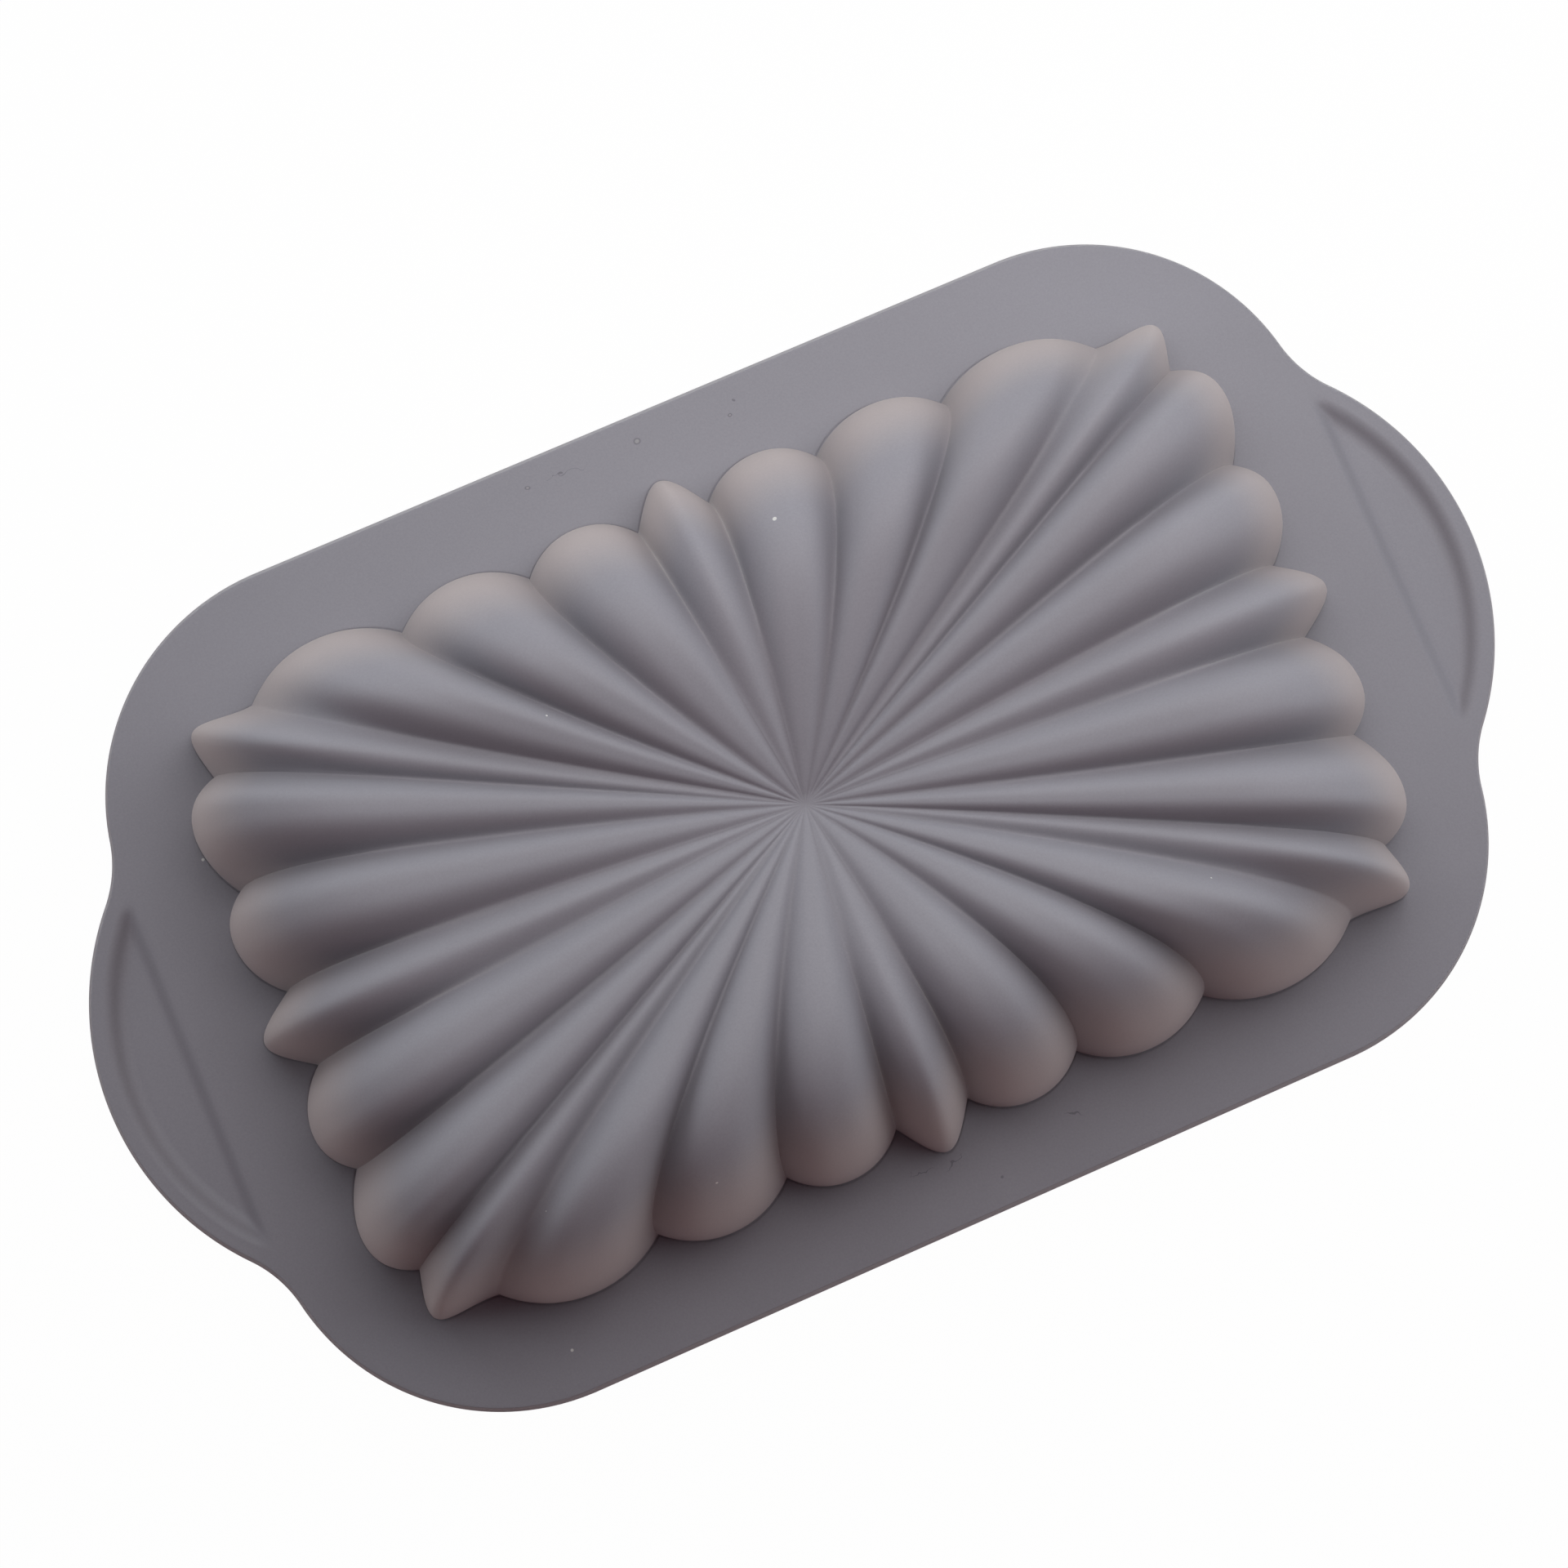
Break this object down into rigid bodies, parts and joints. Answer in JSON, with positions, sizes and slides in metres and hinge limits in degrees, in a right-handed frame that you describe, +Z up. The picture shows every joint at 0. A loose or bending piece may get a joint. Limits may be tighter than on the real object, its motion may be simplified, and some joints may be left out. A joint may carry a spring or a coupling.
{
  "type": "fluted loaf mould",
  "caption": "Soft loaf mould with a sunburst of round and pointed flutes, a flat rim and a grip with a finger recess at each end, lying upside down.",
  "frame": {"origin": "on the table under the middle of the mould, which lies upside down on its rim", "axes": "+X along the mould's length towards one grip, +Y across its width, +Z up through the closed bottom of the well"},
  "size_m": [0.28, 0.1658, 0.0438],
  "materials": {
    "silicone_well": "matte grey silicone",
    "silicone_rim": "matte grey silicone",
    "silicone_grip": "matte grey silicone"
  },
  "bodies": {
    "root": {"fluted_well": "silicone_well", "rim_flange": "silicone_rim", "left_grip": "silicone_grip", "right_grip": "silicone_grip"}
  },
  "joints": []
}
